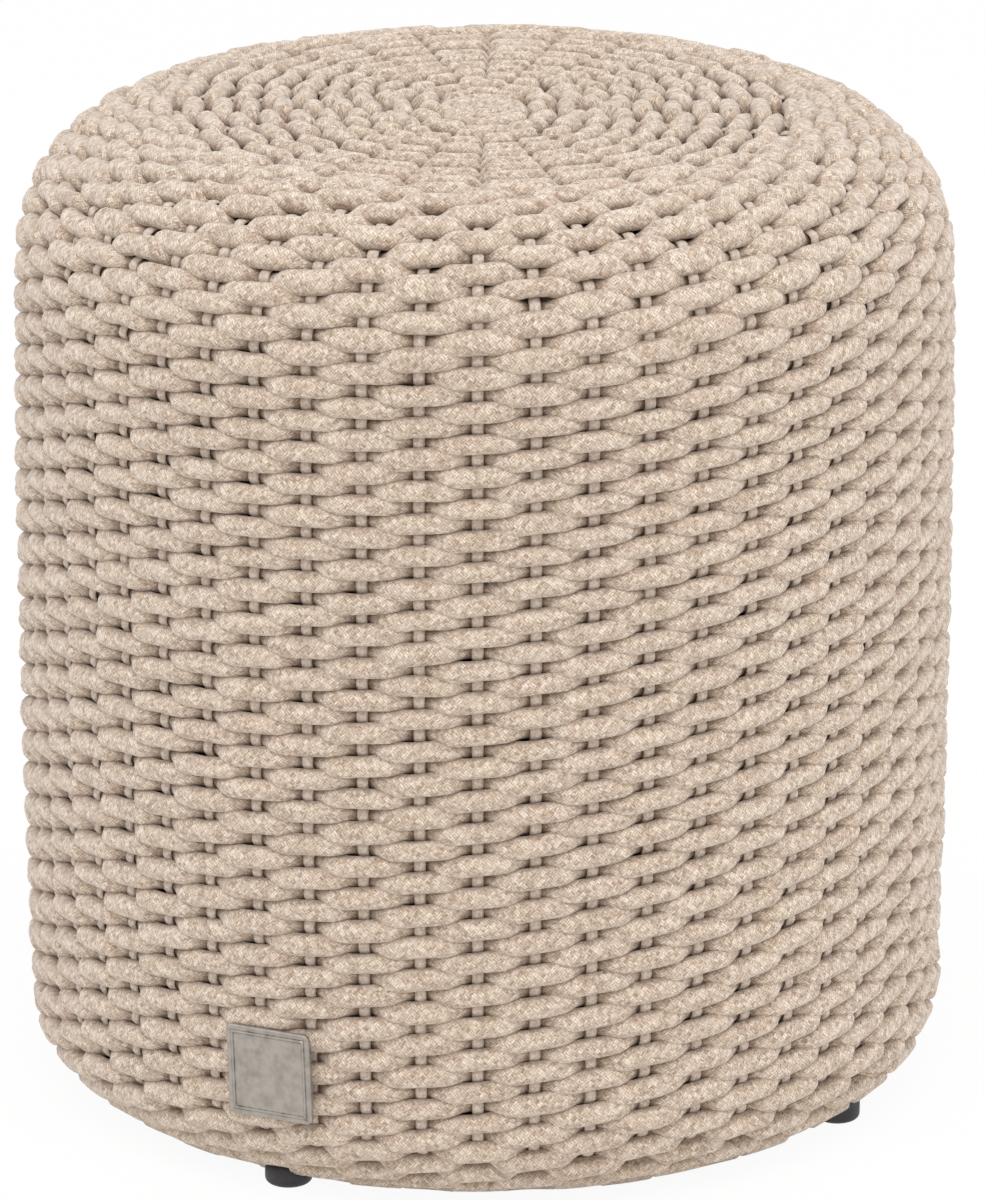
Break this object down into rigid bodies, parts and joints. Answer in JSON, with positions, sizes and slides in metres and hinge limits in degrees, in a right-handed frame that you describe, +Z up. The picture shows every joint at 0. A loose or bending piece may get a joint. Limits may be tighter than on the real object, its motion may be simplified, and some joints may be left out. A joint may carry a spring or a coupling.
{
  "type": "woven rope footstool",
  "caption": "Drum-shaped outdoor footstool with a thick rope cover woven over and under on a welded tube frame, flat top, rounded edges, low round glides and a small bare metal plate.",
  "frame": {"origin": "on the floor, at the centre under the footstool", "axes": "+Z up along the drum's axis; -Y is the front, with the metal plate low on it"},
  "size_m": [0.43, 0.4308, 0.4574],
  "materials": {
    "rope": "matte",
    "frame": "satin",
    "glide": "matte",
    "plate": "satin",
    "steel": "satin"
  },
  "bodies": {
    "root": {"top_weave": "rope", "shoulder_weave": "rope", "side_weave": "rope", "base_weave": "rope", "frame_long_hoop": "frame", "frame_half_hoop_front": "frame", "frame_half_hoop_back": "frame", "frame_bottom_ring_1": "frame", "frame_bottom_ring_2": "frame", "frame_bottom_ring_3": "frame", "frame_bottom_ring_4": "frame", "frame_upper_ring_1": "frame", "frame_upper_ring_2": "frame", "frame_upper_ring_3": "frame", "frame_upper_ring_4": "frame", "frame_top_ring_1": "frame", "frame_top_ring_2": "frame", "frame_top_ring_3": "frame", "frame_top_ring_4": "frame", "glide_1": "glide", "glide_2": "glide", "glide_3": "glide", "glide_4": "glide", "label_plate": "plate", "label_rivet_nut_1": "steel", "label_rivet_nut_2": "steel"}
  },
  "joints": []
}
